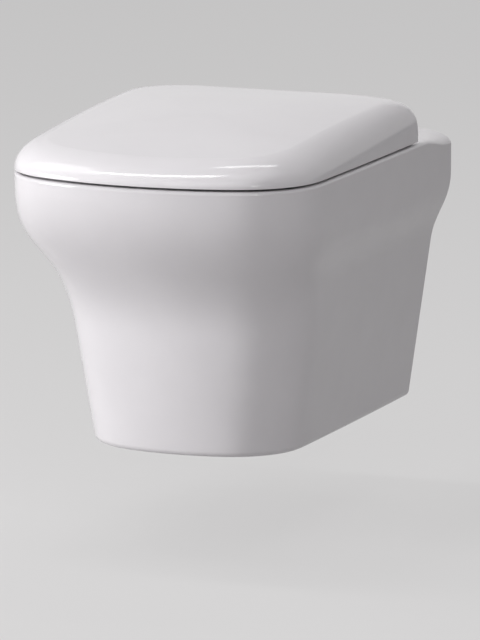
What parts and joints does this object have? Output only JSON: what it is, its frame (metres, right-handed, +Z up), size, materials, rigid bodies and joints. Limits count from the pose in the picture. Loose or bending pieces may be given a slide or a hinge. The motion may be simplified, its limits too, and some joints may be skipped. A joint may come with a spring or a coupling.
{
  "type": "wall hung toilet",
  "caption": "Wall hung toilet with a tapered skirted pan, deep bowl and siphonless trap, hidden wall fixings, and a soft close seat under a wrap-over lid.",
  "frame": {"origin": "on the wall plane, midway between the two fixing studs", "axes": "+Y points into the wall, -Y to the front, +Z up, +X to the user's left when seated facing forward"},
  "size_m": [0.36, 0.54, 0.3757],
  "materials": {
    "glaze": "gloss",
    "duroplast": "gloss",
    "rubber": "matt",
    "bumper": "matt",
    "plastic": "satin",
    "cover": "gloss",
    "bush": "satin",
    "damper": "satin",
    "cast_metal": "zinc plated, cast",
    "steel": "brushed"
  },
  "bodies": {
    "toilet": {"pan": "glaze", "flush_inlet_seal": "rubber", "fixing_sleeve_left": "plastic", "fixing_sleeve_right": "plastic", "clamp_block_left": "cast_metal", "clamp_block_right": "cast_metal", "clamp_screws": "steel", "access_plugs": "cover", "hinge_base_left": "steel", "hinge_base_right": "steel", "base_gaskets": "rubber", "hinge_screws": "steel", "expansion_plugs": "rubber", "cone_nuts": "plastic", "hinge_post_left": "steel", "hinge_post_right": "steel", "hinge_pin_left": "steel", "hinge_pin_right": "steel", "seat_damper": "damper", "lid_damper": "damper"},
    "seat_assembly": {"seat": "duroplast", "seat_bushes": "bush", "seat_bumpers": "bumper"},
    "lid_assembly": {"lid": "duroplast", "lid_bushes": "bush", "lid_bumpers": "bumper"}
  },
  "joints": [
    {"name": "seat_hinge", "type": "hinge", "parent": "toilet", "child": "seat_assembly", "pos_m": [0, -0.09, 0.115], "axis": [-1, 0, 0], "range_deg": [0, 94]},
    {"name": "lid_hinge", "type": "hinge", "parent": "seat_assembly", "child": "lid_assembly", "pos_m": [0, -0.09, 0.115], "axis": [-1, 0, 0], "range_deg": [0, 94]}
  ]
}
